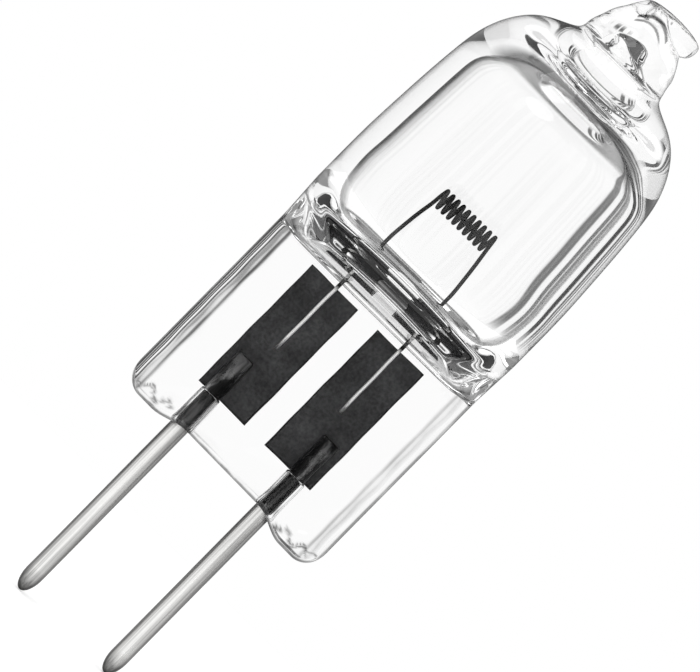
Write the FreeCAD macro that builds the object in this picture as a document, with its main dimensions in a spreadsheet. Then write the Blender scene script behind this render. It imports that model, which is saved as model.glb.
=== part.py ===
import FreeCAD, Part
import math
import os

import Sketcher
from FreeCAD import Placement, Rotation, Vector

# Low-voltage halogen capsule lamp with a two-pin push-in base.
#
# The envelope is one piece of fused quartz: a tube flattened at its lower end round the
# lead-ins, and closed at its upper end by the stub of its exhaust tube. A tungsten coil
# stands across the chamber on its own two legs. Each leg is welded to a thin molybdenum
# foil buried in the flattened seal, and each foil carries one contact pin.
#
# Millimetres. +Z runs along the lamp's axis from the pins to the tip, X runs through both
# pins, and the origin lies between the pins in the plane where they leave the glass.

# Driving dimensions: name, size, what it measures
SIZES = [
    ("pin_spacing", 4.0, "between the pin axes"),
    ("pin_diameter", 0.7, "contact pin"),
    ("pin_reach", 7.75, "bare pin below the glass"),
    ("pin_nose", 0.75, "length of the rounded nose of a pin"),
    ("pin_overlap", 1.7, "pin lying on its foil"),
    ("pin_flat", 0.05, "depth of the flat that the weld leaves on a pin"),
    ("pin_gap", 0.06, "capillary gap between a pin and the glass below the foil"),
    ("foil_width", 2.18, "molybdenum foil"),
    ("foil_length", 5.44, "molybdenum foil"),
    ("foil_thickness", 0.04, "molybdenum foil at its middle"),
    ("foil_feather", 0.25, "width of the knife edge on each side of a foil"),
    ("foil_base", 1.5, "lower edge of the foil above the glass base"),
    ("foil_inset", 0.45, "from a pin's axis in to the middle of its foil"),
    ("wire_diameter", 0.14, "filament wire"),
    ("wire_flats", 6, "flats that the filament wire is drawn with"),
    ("lead_overlap", 2.86, "leg lying on its foil"),
    ("lead_inset", 0.05, "from the middle of a foil in to the leg"),
    ("lead_flat", 0.015, "depth of the flat that the weld leaves on a leg"),
    ("leg_lift", 1.12, "straight leg above the chamber floor"),
    ("leg_round", 0.5, "bend radius of the legs"),
    ("leg_run", 0.45, "straight wire between a leg's bend and the coil"),
    ("coil_diameter", 0.82, "outside of the coil"),
    ("coil_pitch", 0.247, "between neighbouring turns"),
    ("coil_turns", 9, "whole turns, with half a turn more to reach the second leg"),
    ("coil_height", 3.7, "coil axis above the chamber floor"),
    ("pinch_width", 9.0, "flattened seal across the pins"),
    ("pinch_thickness", 2.9, "flattened seal at its middle, before the web is pressed"),
    ("pinch_edge", 1.25, "radius of the rounded sides of the seal"),
    ("pinch_margin", 0.46, "seal above the foils"),
    ("web_thickness", 2.4, "pressed web between the side rails"),
    ("rail_width", 0.65, "side rail beside the web"),
    ("web_margin", 0.3, "rail left across the top of the web"),
    ("web_corner", 0.6, "radius of the upper corners of the web"),
    ("foot_width", 1.55, "foot below each side of the seal"),
    ("foot_drop", 0.36, "foot below the glass base"),
    ("foot_round", 0.8, "radius of the outer corner of each foot"),
    ("bulb_diameter", 9.2, "round bulb at its widest"),
    ("shoulder_height", 0.6, "from the flattened seal up to the round bulb"),
    ("bulb_height", 8.3, "round bulb up to the dome"),
    ("bulb_taper", 0.3, "radius lost over the bulb's height"),
    ("dome_round", 2.05, "radius of the dome's shoulder"),
    ("dome_slope", 25.0, "degrees by which the top of the dome rises to the stub"),
    ("neck_diameter", 3.7, "root of the exhaust stub"),
    ("neck_round", 0.35, "fillet round the root of the stub"),
    ("tip_height", 2.6, "exhaust stub above its root"),
    ("waist_diameter", 3.16, "stub where its side begins to close"),
    ("waist_height", 1.27, "lower side of the stub"),
    ("crown_diameter", 1.6, "stub where its side turns into its crown"),
    ("crown_rise", 0.2, "height of the crown"),
    ("bead_diameter", 2.0, "melted bead left by the tip-off"),
    ("bead_thickness", 0.9, "melted bead"),
    ("bead_offset", 0.56, "bead aside from the lamp's axis"),
    ("bead_sink", 0.36, "middle of the bead below the end of the stub"),
    ("wall", 0.68, "bulb wall at its widest"),
    ("wall_top", 0.65, "bulb wall under the dome"),
    ("chamber_margin", 0.48, "solid glass between the seal and the chamber floor"),
    ("floor_thickness", 0.56, "slit that forms the chamber floor"),
    ("floor_round", 1.9, "radius of the chamber's lower corners"),
    ("chamber_rise", 1.05, "from the chamber floor up to where it is round"),
    ("chamber_round", 1.5, "radius of the upper corner of the chamber"),
    ("roof", 1.5, "glass between the chamber roof and the root of the stub"),
    ("throat_diameter", 2.4, "exhaust bore where it leaves the chamber"),
    ("bore_diameter", 1.5, "exhaust bore inside the stub"),
    ("bore_depth", 2.65, "exhaust bore above the chamber roof"),
]

# Places that follow from the driving dimensions: name, formula
PLACES = [
    ("pin_x", "sizes.pin_spacing / 2"),
    ("pin_radius", "sizes.pin_diameter / 2"),
    ("pin_top", "sizes.foil_base + sizes.pin_overlap"),
    ("pin_tip", "-sizes.pin_reach"),
    ("pin_nose_top", "sizes.pin_nose - sizes.pin_reach"),
    ("pin_nose_arc", "(pin_radius ^ 2 + sizes.pin_nose ^ 2) / sizes.pin_diameter"),
    ("pin_bore", "pin_radius + sizes.pin_gap"),
    ("weld_y", "pin_radius - sizes.pin_flat"),
    ("foil_x", "pin_x - sizes.foil_inset"),
    ("foil_half", "sizes.foil_width / 2"),
    ("foil_back", "foil_half - sizes.foil_feather"),
    ("foil_top", "sizes.foil_base + sizes.foil_length"),
    ("wire_radius", "sizes.wire_diameter / 2"),
    ("lead_x", "foil_x - sizes.lead_inset"),
    ("lead_y", "weld_y - wire_radius + sizes.lead_flat"),
    ("lead_foot", "foil_top - sizes.lead_overlap"),
    ("pinch_half", "sizes.pinch_width / 2"),
    ("pinch_top", "foil_top + sizes.pinch_margin"),
    ("pinch_bow_tangent", "(sizes.pinch_thickness / 2 - sizes.pinch_edge) / (pinch_half - sizes.pinch_edge)"),
    ("pinch_bow", "90 - 2 * atan(pinch_bow_tangent) / 1 deg"),
    ("web_y", "sizes.web_thickness / 2"),
    ("web_half", "pinch_half - sizes.rail_width"),
    ("web_top", "pinch_top - sizes.web_margin"),
    ("web_side_top", "web_top - sizes.web_corner"),
    ("web_top_half", "web_half - sizes.web_corner"),
    ("foot_low", "-sizes.foot_drop"),
    ("foot_outer", "pinch_half - sizes.foot_round"),
    ("foot_inner", "pinch_half - sizes.foot_width"),
    ("foot_side", "sizes.foot_round - sizes.foot_drop"),
    ("below_glass", "-sizes.pinch_width"),
    ("beside_glass", "sizes.pinch_width"),
    ("bulb_radius", "sizes.bulb_diameter / 2"),
    ("bulb_low", "pinch_top + sizes.shoulder_height"),
    ("bulb_top", "bulb_low + sizes.bulb_height"),
    ("dome_radius", "bulb_radius - sizes.bulb_taper"),
    ("neck_radius", "sizes.neck_diameter / 2"),
    ("dome_end_radius", "dome_radius - sizes.dome_round * (1 - sin(sizes.dome_slope * 1 deg))"),
    ("dome_end_z", "bulb_top + sizes.dome_round * cos(sizes.dome_slope * 1 deg)"),
    ("neck_z", "dome_end_z + (dome_end_radius - neck_radius) * tan(sizes.dome_slope * 1 deg)"),
    ("tip_z", "neck_z + sizes.tip_height"),
    ("waist_radius", "sizes.waist_diameter / 2"),
    ("waist_z", "neck_z + sizes.waist_height"),
    ("crown_radius", "sizes.crown_diameter / 2"),
    ("crown_z", "tip_z - sizes.crown_rise"),
    ("crown_arc", "(crown_radius ^ 2 + sizes.crown_rise ^ 2) / (2 * sizes.crown_rise)"),
    ("bead_z", "tip_z - sizes.bead_sink"),
    ("bead_half", "sizes.bead_thickness / 2"),
    ("bead_rim", "sizes.bead_diameter / 2"),
    ("bead_flat", "bead_rim - bead_half"),
    ("chamber_floor", "pinch_top + sizes.chamber_margin"),
    ("chamber_low", "chamber_floor + sizes.chamber_rise"),
    ("chamber_radius", "bulb_radius - sizes.wall"),
    ("chamber_top_radius", "dome_radius - sizes.wall_top"),
    ("roof_z", "neck_z - sizes.roof"),
    ("chamber_corner_z", "roof_z - sizes.chamber_round"),
    ("roof_radius", "chamber_top_radius - sizes.chamber_round"),
    ("throat_radius", "sizes.throat_diameter / 2"),
    ("bore_radius", "sizes.bore_diameter / 2"),
    ("bore_end", "roof_z + sizes.bore_depth"),
    ("bore_shoulder", "bore_end - bore_radius"),
    ("floor_half", "sizes.floor_thickness / 2"),
    ("floor_flat", "chamber_radius - sizes.floor_round"),
    ("floor_side", "chamber_floor + sizes.floor_round"),
    ("above_chamber", "tip_z + sizes.tip_height"),
    ("coil_z", "chamber_floor + sizes.coil_height"),
    ("coil_radius", "(sizes.coil_diameter - sizes.wire_diameter) / 2"),
    ("leg_bend", "chamber_floor + sizes.leg_lift"),
    ("seat_height", "leg_bend - lead_foot"),
]

# Shares of the way from a flat section to a round one at which a loft has its sections
LOFT_SHARES = (0.0, 1.0)


def loft_places(prefix, half_width, edge, bow, round_radius, low, high):
    """Places of a family of sections that runs from a flat oval to a circle.

    An oval is four tangent arcs: a small one at each end and a long one over each face. They
    meet where the outline's normal leans from X by the bow angle, the same in every section,
    so that an oval is set by how far out its end arcs stand and by their radius. Both change
    evenly with the height.
    """
    rows = []
    for index, share in enumerate(LOFT_SHARES):
        name = f"{prefix}_{index}"
        rows.append((f"{name}_z", f"{low} + ({high} - {low}) * {share}"))
        rows.append((f"{name}_out", f"({half_width} - {edge}) * {1 - share}"))
        rows.append((f"{name}_edge", f"{edge} + ({round_radius} - {edge}) * {share}"))
        rows.append((f"{name}_x", f"{name}_out + {name}_edge * cos({bow} * 1 deg)"))
        rows.append((f"{name}_y", f"{name}_edge * sin({bow} * 1 deg)"))
        rows.append((f"{name}_face", f"{name}_edge + {name}_out / cos({bow} * 1 deg)"))
    return rows


PLACES += loft_places("shoulder", "pinch_half", "sizes.pinch_edge", "pinch_bow",
                      "bulb_radius", "pinch_top", "bulb_low")

doc = FreeCAD.newDocument("capsule_lamp")


# The sheets, and names looked up in them

def fill_sheet(sheet, rows):
    """One named cell a row, with a note beside it."""
    for row, (name, content, note) in enumerate(rows, start=1):
        sheet.set(f"A{row}", note)
        sheet.set(f"B{row}", content)
        sheet.setAlias(f"B{row}", name)
    doc.recompute()


sizes = doc.addObject("Spreadsheet::Sheet", "sizes")
fill_sheet(sizes, [(name, str(size), meaning) for name, size, meaning in SIZES])
places = doc.addObject("Spreadsheet::Sheet", "places")
fill_sheet(places, [(name, "=" + formula, name) for name, formula in PLACES])
SIZE_NAMES = {name for name, size, meaning in SIZES}


def number(name):
    """The present value of a named size or place; a leading minus mirrors it."""
    if name == "0":
        return 0.0
    if name.startswith("-"):
        return -number(name[1:])
    sheet = sizes if name in SIZE_NAMES else places
    return float(sheet.get(name))


def reference(name):
    """The expression that refers to a named size or place."""
    if name.startswith("-"):
        return "-" + reference(name[1:])
    return ("sizes." if name in SIZE_NAMES else "places.") + name


def bind(thing, prop, name):
    thing.setExpression(prop, reference(name))


# Sketches and features

def new_body(label):
    body = doc.addObject("PartDesign::Body", label)
    body.Label = label
    return body


def new_sketch(body, name, plane, **offsets):
    """A sketch on one of the body's own planes, moved in it and off it by named distances."""
    sketch = body.newObject("Sketcher::SketchObject", name)
    origin_plane = [feature for feature in body.Origin.OriginFeatures if feature.Role == plane][0]
    sketch.AttachmentSupport = [(origin_plane, "")]
    sketch.MapMode = "FlatFace"
    for axis, place in offsets.items():
        bind(sketch, f"AttachmentOffset.Base.{axis}", place)
    return sketch


def arc_between(start, end, radius, turn):
    """The minor arc from start to end; turn is +1 where it runs anticlockwise, -1 clockwise."""
    chord = end - start
    rise = math.sqrt(max(radius ** 2 - (chord.Length / 2) ** 2, 0.0))
    left = Vector(-chord.y, chord.x, 0).normalize()
    centre = (start + end) * 0.5 + left * (rise * turn)
    first, last = (start, end) if turn > 0 else (end, start)
    low = math.atan2(first.y - centre.y, first.x - centre.x)
    high = math.atan2(last.y - centre.y, last.x - centre.x)
    if high < low:
        high += 2 * math.pi
    return Part.ArcOfCircle(Part.Circle(centre, Vector(0, 0, 1), radius), low, high)


def draw_loop(sketch, corners):
    """Draw one closed outline and bind it to the sheets.

    A corner is (x, y) or (x, y, radius, turn): the names of its place and, where the edge that
    leaves it is an arc, of the arc's radius, with +1 for an anticlockwise arc, -1 for a
    clockwise one.
    """
    points = [Vector(number(corner[0]), number(corner[1]), 0) for corner in corners]
    first_edge = sketch.GeometryCount
    ends = []
    for index, corner in enumerate(corners):
        start, end = points[index], points[(index + 1) % len(points)]
        if len(corner) == 2:
            sketch.addGeometry(Part.LineSegment(start, end), False)
            ends.append((1, 2))
        else:
            sketch.addGeometry(arc_between(start, end, number(corner[2]), corner[3]), False)
            ends.append((1, 2) if corner[3] > 0 else (2, 1))
    for index, corner in enumerate(corners):
        edge = first_edge + index
        before = first_edge + (index - 1) % len(corners)
        join = Sketcher.Constraint("Coincident", before, ends[index - 1][1], edge, ends[index][0])
        sketch.addConstraint(join)
        pin_corner(sketch, edge, ends[index][0], corner)
        if len(corner) > 2:
            radius = Sketcher.Constraint("Radius", edge, number(corner[2]))
            add_bound(sketch, radius, f"radius_{edge}", corner[2])


def pin_corner(sketch, edge, end, corner):
    """Hold one corner of an outline at its named distances from the sketch's origin."""
    if corner[0] == "0" and corner[1] == "0":
        sketch.addConstraint(Sketcher.Constraint("Coincident", edge, end, -1, 1))
        return
    for kind, axis, place in (("DistanceX", -2, corner[0]), ("DistanceY", -1, corner[1])):
        if place == "0":
            sketch.addConstraint(Sketcher.Constraint("PointOnObject", edge, end, axis))
        else:
            distance = Sketcher.Constraint(kind, -1, 1, edge, end, number(place))
            add_bound(sketch, distance, f"{kind}_{edge}", place)


def add_bound(sketch, constraint, name, place):
    """Add a constraint under a name and bind it to a named size or place."""
    index = sketch.addConstraint(constraint)
    sketch.renameConstraint(index, name)
    bind(sketch, f"Constraints.{name}", place)


def draw_circle(sketch, across, radius):
    """A circle on the sketch's horizontal axis, its centre and radius bound to named values."""
    edge = sketch.addGeometry(Part.Circle(Vector(number(across), 0, 0), Vector(0, 0, 1), number(radius)), False)
    sketch.addConstraint(Sketcher.Constraint("PointOnObject", edge, 3, -1))
    centre = Sketcher.Constraint("DistanceX", -1, 1, edge, 3, number(across))
    add_bound(sketch, centre, f"centre_{edge}", across)
    add_bound(sketch, Sketcher.Constraint("Radius", edge, number(radius)), f"radius_{edge}", radius)


def draw_oval(sketch, name):
    """The four tangent arcs of one loft section, anticlockwise from its lower right joint."""
    across, along = f"{name}_x", f"{name}_y"
    draw_loop(sketch, [
        (across, "-" + along, f"{name}_edge", 1),
        (across, along, f"{name}_face", 1),
        ("-" + across, along, f"{name}_edge", 1),
        ("-" + across, "-" + along, f"{name}_face", 1),
    ])


def revolve(body, name, corners, **offsets):
    """Turn a half outline, drawn on the XZ plane, once round its own vertical axis."""
    sketch = new_sketch(body, f"{name}_profile", "XZ_Plane", **offsets)
    draw_loop(sketch, corners)
    feature = body.newObject("PartDesign::Revolution", name)
    feature.Profile = sketch
    feature.ReferenceAxis = (sketch, ["V_Axis"])
    feature.Angle = 360
    doc.recompute()
    return feature


def cut_through(body, name, sketch):
    """Cut a sketch's outline through the whole body, both ways from its plane."""
    feature = body.newObject("PartDesign::Pocket", name)
    feature.Profile = sketch
    feature.Type = "ThroughAll"
    feature.Midplane = True
    doc.recompute()
    return feature


def loft_ovals(body, prefix):
    """A loft through the sections of one family, from its flat oval to its circle."""
    sketches = []
    for index in range(len(LOFT_SHARES)):
        name = f"{prefix}_{index}"
        sketch = new_sketch(body, f"{name}_section", "XY_Plane", z=f"{name}_z")
        draw_oval(sketch, name)
        sketches.append(sketch)
    doc.recompute()
    feature = body.newObject("PartDesign::AdditiveLoft", f"{prefix}_loft")
    feature.Profile = sketches[0]
    feature.Sections = sketches[1:]
    doc.recompute()
    return feature


# Contact pins and foils

def make_pin(label, side):
    """A round pin with a rounded nose, flattened on its back where it is welded to its foil.

    Its side is parted level with the feet of the glass, so that the bare stretch which a
    lampholder grips is a face of its own.
    """
    body = new_body(label)
    shank = revolve(body, f"{label}_shank", [
        ("0", "pin_tip", "pin_nose_arc", 1),
        ("pin_radius", "pin_nose_top"),
        ("pin_radius", "foot_low"),
        ("pin_radius", "pin_top"),
        ("0", "pin_top"),
    ])
    shank.Refine = False
    flat = new_sketch(body, f"{label}_flat_profile", "YZ_Plane")
    draw_loop(flat, [
        ("weld_y", "foil_base"),
        ("pin_diameter", "foil_base"),
        ("pin_diameter", "foil_top"),
        ("weld_y", "foil_top"),
    ])
    cut_through(body, f"{label}_flat", flat).Refine = False
    bind(body, "Placement.Base.x", side + "pin_x")
    return body


def make_foil(label, side):
    """A thin strip with a flat front and knife edges feathered on its back."""
    body = new_body(label)
    sketch = new_sketch(body, f"{label}_section", "XY_Plane")
    draw_loop(sketch, [
        ("-foil_half", "0"),
        ("foil_half", "0"),
        ("foil_back", "foil_thickness"),
        ("-foil_back", "foil_thickness"),
    ])
    strip = body.newObject("PartDesign::Pad", f"{label}_strip")
    strip.Profile = sketch
    bind(strip, "Length", "foil_length")
    bind(body, "Placement.Base.x", side + "foil_x")
    bind(body, "Placement.Base.y", "weld_y")
    bind(body, "Placement.Base.z", "foil_base")
    doc.recompute()
    return body


# Filament

def rounded_path(points, radius):
    """Straight runs through the points, joined by tangent arcs of one radius."""
    edges = []
    start = points[0]
    for before, corner, after in zip(points, points[1:], points[2:]):
        back = (before - corner).normalize()
        onward = (after - corner).normalize()
        half = back.getAngle(onward) / 2
        setback = radius / math.tan(half)
        inward = (back + onward).normalize()
        middle = corner + inward * (radius / math.sin(half) - radius)
        first, last = corner + back * setback, corner + onward * setback
        edges.append(Part.LineSegment(start, first).toShape())
        edges.append(Part.Arc(first, middle, last).toShape())
        start = last
    edges.append(Part.LineSegment(start, points[-1]).toShape())
    return edges


def half_turn(start, end, front):
    """The half circle over start and end that bulges to the front or to the back."""
    bulge = Vector(0, -(end - start).Length / 2 if front else (end - start).Length / 2, 0)
    return start, (start + end) * 0.5 + bulge, end


def coil_edges():
    """The turns of the coil, along X, as half circles that lean alternately.

    Each runs from the top of the coil to its bottom, or back, half a pitch further along. All of
    them pass the top and the bottom square to X, so that they join smoothly. The first and the
    last are cut to a quarter: the wire comes up in front of the coil and leaves at its back.
    """
    radius, level, pitch = number("coil_radius"), number("coil_z"), number("coil_pitch")
    halves = 2 * round(number("coil_turns")) + 2
    first = -pitch * halves / 4
    edges = []
    for index in range(halves):
        rising = index % 2 == 0
        low, high = Vector(0, 0, level - radius), Vector(0, 0, level + radius)
        start, end = (low, high) if rising else (high, low)
        along = first + pitch * index / 2
        points = half_turn(start + Vector(along, 0, 0), end + Vector(along + pitch / 2, 0, 0), rising)
        arc = Part.Arc(*points).toShape()
        middle = (arc.FirstParameter + arc.LastParameter) / 2
        if index == 0:
            arc = arc.Curve.toShape(middle, arc.LastParameter)
        if index == halves - 1:
            arc = arc.Curve.toShape(arc.FirstParameter, middle)
        edges.append(arc)
    return edges


def make_filament(label):
    """One wire: a leg off the left foil, the coil, and a leg down to the right foil.

    The wire is drawn with a few flats along it, inside its round outline.
    """
    coil = coil_edges()
    start, end = coil[0].valueAt(coil[0].FirstParameter), coil[-1].valueAt(coil[-1].LastParameter)
    rise = coil[0].tangentAt(coil[0].FirstParameter)
    fall = coil[-1].tangentAt(coil[-1].LastParameter)
    run, across, depth = number("leg_run"), number("lead_x"), number("lead_y")
    foot, bend = Vector(0, depth, number("lead_foot")), Vector(0, depth, number("leg_bend"))
    left, right = Vector(-across, 0, 0), Vector(across, 0, 0)
    up_leg = rounded_path([foot + left, bend + left, start - rise * run, start], number("leg_round"))
    down_leg = rounded_path([end, end + fall * run, bend + right, foot + right], number("leg_round"))
    path = Part.Wire(up_leg + coil + down_leg)
    wire = doc.addObject("Part::Feature", label + "_wire")
    wire.Shape = path.makePipe(Part.Face(wire_section(foot + left)))
    return wire


def wire_section(centre):
    """The wire's cross-section where it starts, with a corner on its round outline at each flat."""
    radius, flats = number("wire_radius"), round(number("wire_flats"))
    turns = [2 * math.pi * (index + 0.5) / flats for index in range(flats)]
    rim = [centre + Vector(radius * math.cos(turn), radius * math.sin(turn), 0) for turn in turns]
    return Part.makePolygon(rim + rim[:1])


def weld_flats(label, wire, foils):
    """The wire with the flats that its welds to the foils leave on its legs."""
    strips = doc.addObject("Part::Compound", label + "_foils")
    strips.Links = foils
    welded = doc.addObject("Part::Cut", label)
    welded.Base = wire
    welded.Tool = strips
    welded.Label = label
    doc.recompute()
    return welded


# Quartz envelope

def make_blank():
    """The envelope without its chamber: seal, shoulder, bulb, dome and stub."""
    body = new_body("envelope_blank")
    oval = new_sketch(body, "pinch_section", "XY_Plane", z="foot_low")
    draw_oval(oval, "shoulder_0")
    pinch = body.newObject("PartDesign::Pad", "pinch")
    pinch.Profile = oval
    pinch.setExpression("Length", "places.pinch_top + sizes.foot_drop")
    doc.recompute()
    loft_ovals(body, "shoulder")
    revolve(body, "bulb", [
        ("0", "bulb_low"),
        ("bulb_radius", "bulb_low"),
        ("dome_radius", "bulb_top", "dome_round", 1),
        ("dome_end_radius", "dome_end_z"),
        ("neck_radius", "neck_z"),
        ("waist_radius", "waist_z"),
        ("crown_radius", "crown_z", "crown_arc", 1),
        ("0", "tip_z"),
    ])
    round_neck(body)
    revolve(body, "bead", [
        ("0", "-bead_half"),
        ("bead_flat", "-bead_half", "bead_half", 1),
        ("bead_rim", "0", "bead_half", 1),
        ("bead_flat", "bead_half"),
        ("0", "bead_half"),
    ], x="bead_offset", y="bead_z")
    press_web(body)
    shape_feet(body)
    open_capillaries(body)
    return body


def round_neck(body):
    """Fillet where the stub stands on the dome."""
    bulb = body.Tip
    names = []
    for index, edge in enumerate(bulb.Shape.Edges, start=1):
        box = edge.BoundBox
        level = max(abs(box.ZMin - number("neck_z")), abs(box.ZMax - number("neck_z")))
        if level < 1e-3 and abs(box.XMax - number("neck_radius")) < 1e-3:
            names.append(f"Edge{index}")
    fillet = body.newObject("PartDesign::Fillet", "neck_fillet")
    fillet.Base = (bulb, names)
    bind(fillet, "Radius", "neck_round")
    doc.recompute()


def press_web(body):
    """The recess that the jaws leave between the side rails, on the front and on the back."""
    for face, offset, reverse in (("front", "web_y", True), ("back", "-web_y", False)):
        sketch = new_sketch(body, f"web_{face}_outline", "XZ_Plane", z=offset)
        draw_loop(sketch, [
            ("-web_half", "below_glass"),
            ("web_half", "below_glass"),
            ("web_half", "web_side_top", "web_corner", 1),
            ("web_top_half", "web_top"),
            ("-web_top_half", "web_top", "web_corner", 1),
            ("-web_half", "web_side_top"),
        ])
        recess = body.newObject("PartDesign::Pocket", f"web_{face}")
        recess.Profile = sketch
        recess.Reversed = reverse
        bind(recess, "Length", "pinch_thickness")
        doc.recompute()


def shape_feet(body):
    """Trim the lower end to two rounded feet with the glass base between them."""
    sketch = new_sketch(body, "feet_outline", "XZ_Plane")
    draw_loop(sketch, [
        ("-beside_glass", "below_glass"),
        ("beside_glass", "below_glass"),
        ("beside_glass", "foot_side"),
        ("pinch_half", "foot_side", "foot_round", -1),
        ("foot_outer", "foot_low"),
        ("foot_inner", "foot_low"),
        ("pin_x", "0"),
        ("-pin_x", "0"),
        ("-foot_inner", "foot_low"),
        ("-foot_outer", "foot_low", "foot_round", -1),
        ("-pinch_half", "foot_side"),
        ("-beside_glass", "foot_side"),
    ])
    cut_through(body, "feet", sketch)


def make_chamber():
    """The gas-filled space: a rounded cylinder with its exhaust bore, closed to a slit below."""
    turned = new_body("chamber_turned")
    revolve(turned, "chamber", [
        ("0", "chamber_floor"),
        ("floor_flat", "chamber_floor", "floor_round", 1),
        ("chamber_radius", "floor_side"),
        ("chamber_top_radius", "chamber_corner_z", "chamber_round", 1),
        ("roof_radius", "roof_z"),
        ("throat_radius", "roof_z"),
        ("bore_radius", "bore_shoulder", "bore_radius", 1),
        ("0", "bore_end"),
    ])
    wedge = new_body("chamber_wedge")
    sketch = new_sketch(wedge, "wedge_profile", "YZ_Plane")
    draw_loop(sketch, [
        ("-floor_half", "chamber_floor"),
        ("floor_half", "chamber_floor"),
        ("bulb_radius", "chamber_low"),
        ("bulb_radius", "above_chamber"),
        ("-bulb_radius", "above_chamber"),
        ("-bulb_radius", "chamber_low"),
    ])
    pad = wedge.newObject("PartDesign::Pad", "wedge")
    pad.Profile = sketch
    pad.Midplane = True
    bind(pad, "Length", "bulb_diameter")
    chamber = doc.addObject("Part::Common", "chamber_space")
    chamber.Base = turned
    chamber.Tool = wedge
    doc.recompute()
    return chamber


def open_capillaries(body):
    """The clearance round each pin between the end of its foil and the open air."""
    sketch = new_sketch(body, "capillary_rims", "XY_Plane", z="foil_base")
    draw_circle(sketch, "pin_x", "pin_bore")
    draw_circle(sketch, "-pin_x", "pin_bore")
    capillaries = body.newObject("PartDesign::Pocket", "capillaries")
    capillaries.Profile = sketch
    bind(capillaries, "Length", "pinch_width")
    doc.recompute()


def make_seat(label, side):
    """The straight stretch of a leg that the glass closes on."""
    seat = doc.addObject("Part::Cylinder", label)
    bind(seat, "Radius", "wire_radius")
    bind(seat, "Height", "seat_height")
    bind(seat, "Placement.Base.x", side + "lead_x")
    bind(seat, "Placement.Base.y", "lead_y")
    bind(seat, "Placement.Base.z", "lead_foot")
    doc.recompute()
    return seat


def seal_in(label, blank, chamber, buried):
    """The blank, hollowed by its chamber and closed round everything that is buried in it."""
    bundle = doc.addObject("Part::MultiFuse", label + "_space")
    bundle.Shapes = [chamber] + buried
    sealed = doc.addObject("Part::Cut", label)
    sealed.Base = blank
    sealed.Tool = bundle
    sealed.Label = label
    doc.recompute()
    return sealed


# The assembly

pin_left = make_pin("pin_left", "-")
pin_right = make_pin("pin_right", "")
foil_left = make_foil("foil_left", "-")
foil_right = make_foil("foil_right", "")
filament = weld_flats("filament", make_filament("filament"), [foil_left, foil_right])
seats = [make_seat("seat_left", "-"), make_seat("seat_right", "")]
buried_metal = [pin_left, pin_right, foil_left, foil_right] + seats
glass_envelope = seal_in("glass_envelope", make_blank(), make_chamber(), buried_metal)

doc.recompute()
for thing in doc.Objects:
    if "Invalid" in thing.State or "Error" in thing.State:
        raise RuntimeError(f"{thing.Name} did not rebuild: {thing.State}")

os.makedirs("parts", exist_ok=True)
for piece in (glass_envelope, foil_left, foil_right, pin_left, pin_right, filament):
    if piece.Shape.isNull() or not piece.Shape.isValid():
        raise RuntimeError(f"{piece.Label} has no valid shape")
    piece.Shape.exportStep(f"parts/{piece.Label}.step")
    box = piece.Shape.BoundBox
    print(f"{piece.Label}: {len(piece.Shape.Solids)} solid, {piece.Shape.Volume:.4f} mm3,"
          f" z {box.ZMin:.3f} to {box.ZMax:.3f}")
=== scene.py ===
import math

import bpy
import numpy as np
from mathutils import Matrix, Vector


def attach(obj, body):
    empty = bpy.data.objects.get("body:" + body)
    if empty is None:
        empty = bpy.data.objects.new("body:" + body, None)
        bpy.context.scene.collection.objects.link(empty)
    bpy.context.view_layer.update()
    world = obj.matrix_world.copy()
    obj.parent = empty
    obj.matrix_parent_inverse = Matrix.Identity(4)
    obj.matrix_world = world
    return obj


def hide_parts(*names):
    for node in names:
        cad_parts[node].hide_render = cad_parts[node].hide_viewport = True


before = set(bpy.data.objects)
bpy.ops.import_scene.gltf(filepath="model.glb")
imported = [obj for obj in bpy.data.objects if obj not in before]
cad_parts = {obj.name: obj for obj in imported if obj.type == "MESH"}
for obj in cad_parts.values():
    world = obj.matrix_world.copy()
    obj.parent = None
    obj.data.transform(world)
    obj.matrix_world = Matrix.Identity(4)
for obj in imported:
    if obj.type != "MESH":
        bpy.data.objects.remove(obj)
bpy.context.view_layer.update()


# Contact pins
#
# Two lengths of drawn molybdenum wire with rounded noses. The glass has shrunk onto their upper
# ends, where each is welded to its foil; below the seal they stand bare, to be pushed into a holder.

MM = 0.001
PIN_X = 2.0
PIN_RADIUS = 0.35
PIN_TIP, PIN_NOSE, PIN_TOP = -7.75, 0.75, 3.2
PIN_TOP_ROUND, SHANK_CLEAR = 0.08, 0.1
PIN_COLUMNS = 56
PIN_GREY = (0.95, 0.945, 0.93)
PIN_DARK_GREY = (0.5, 0.497, 0.49)
PIN_PAINTED_SIDE_SHADE = [(0.0, 1.0), (0.16, 0.85), (0.42, 0.3), (0.75, 0.06)]
PIN_NOSE_SHADE_HEIGHT, PIN_NOSE_SHADE = 1.2, [(0.0, 0.12), (0.3, 0.35), (0.8, 1.0)]
SEALED_LOW, SEALED_HIGH = -0.15, 0.35
SEALED_MOTTLE = [(0.38, 0.012), (0.48, 0.05), (0.6, 0.5)]
WELD_GREYS = [(0.0, 1.0), (0.45, 0.8), (0.6, 0.35), (1.0, 0.2)]
PIN_GLOSS = [(0.25, 0.24), (0.75, 0.36)]
DRAWN_DEPTH, DRAWN_STRENGTH = 0.00002, 0.35


def quads_of(numbers, flip=False):
    """Faces of a table of vertex numbers whose rows are closed rings, each joined to the next."""
    after = np.roll(numbers, -1, axis=1)
    quads = np.stack([numbers[:-1], after[:-1], after[1:], numbers[1:]], axis=-1).reshape(-1, 4)
    return quads[:, ::-1] if flip else quads


def fan_of(ring, pole, flip=False):
    """Triangles from one closed ring of vertex numbers to a pole beyond it."""
    fan = np.stack([ring, np.roll(ring, -1), np.full_like(ring, pole)], axis=-1)
    return fan[:, ::-1] if flip else fan


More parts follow.
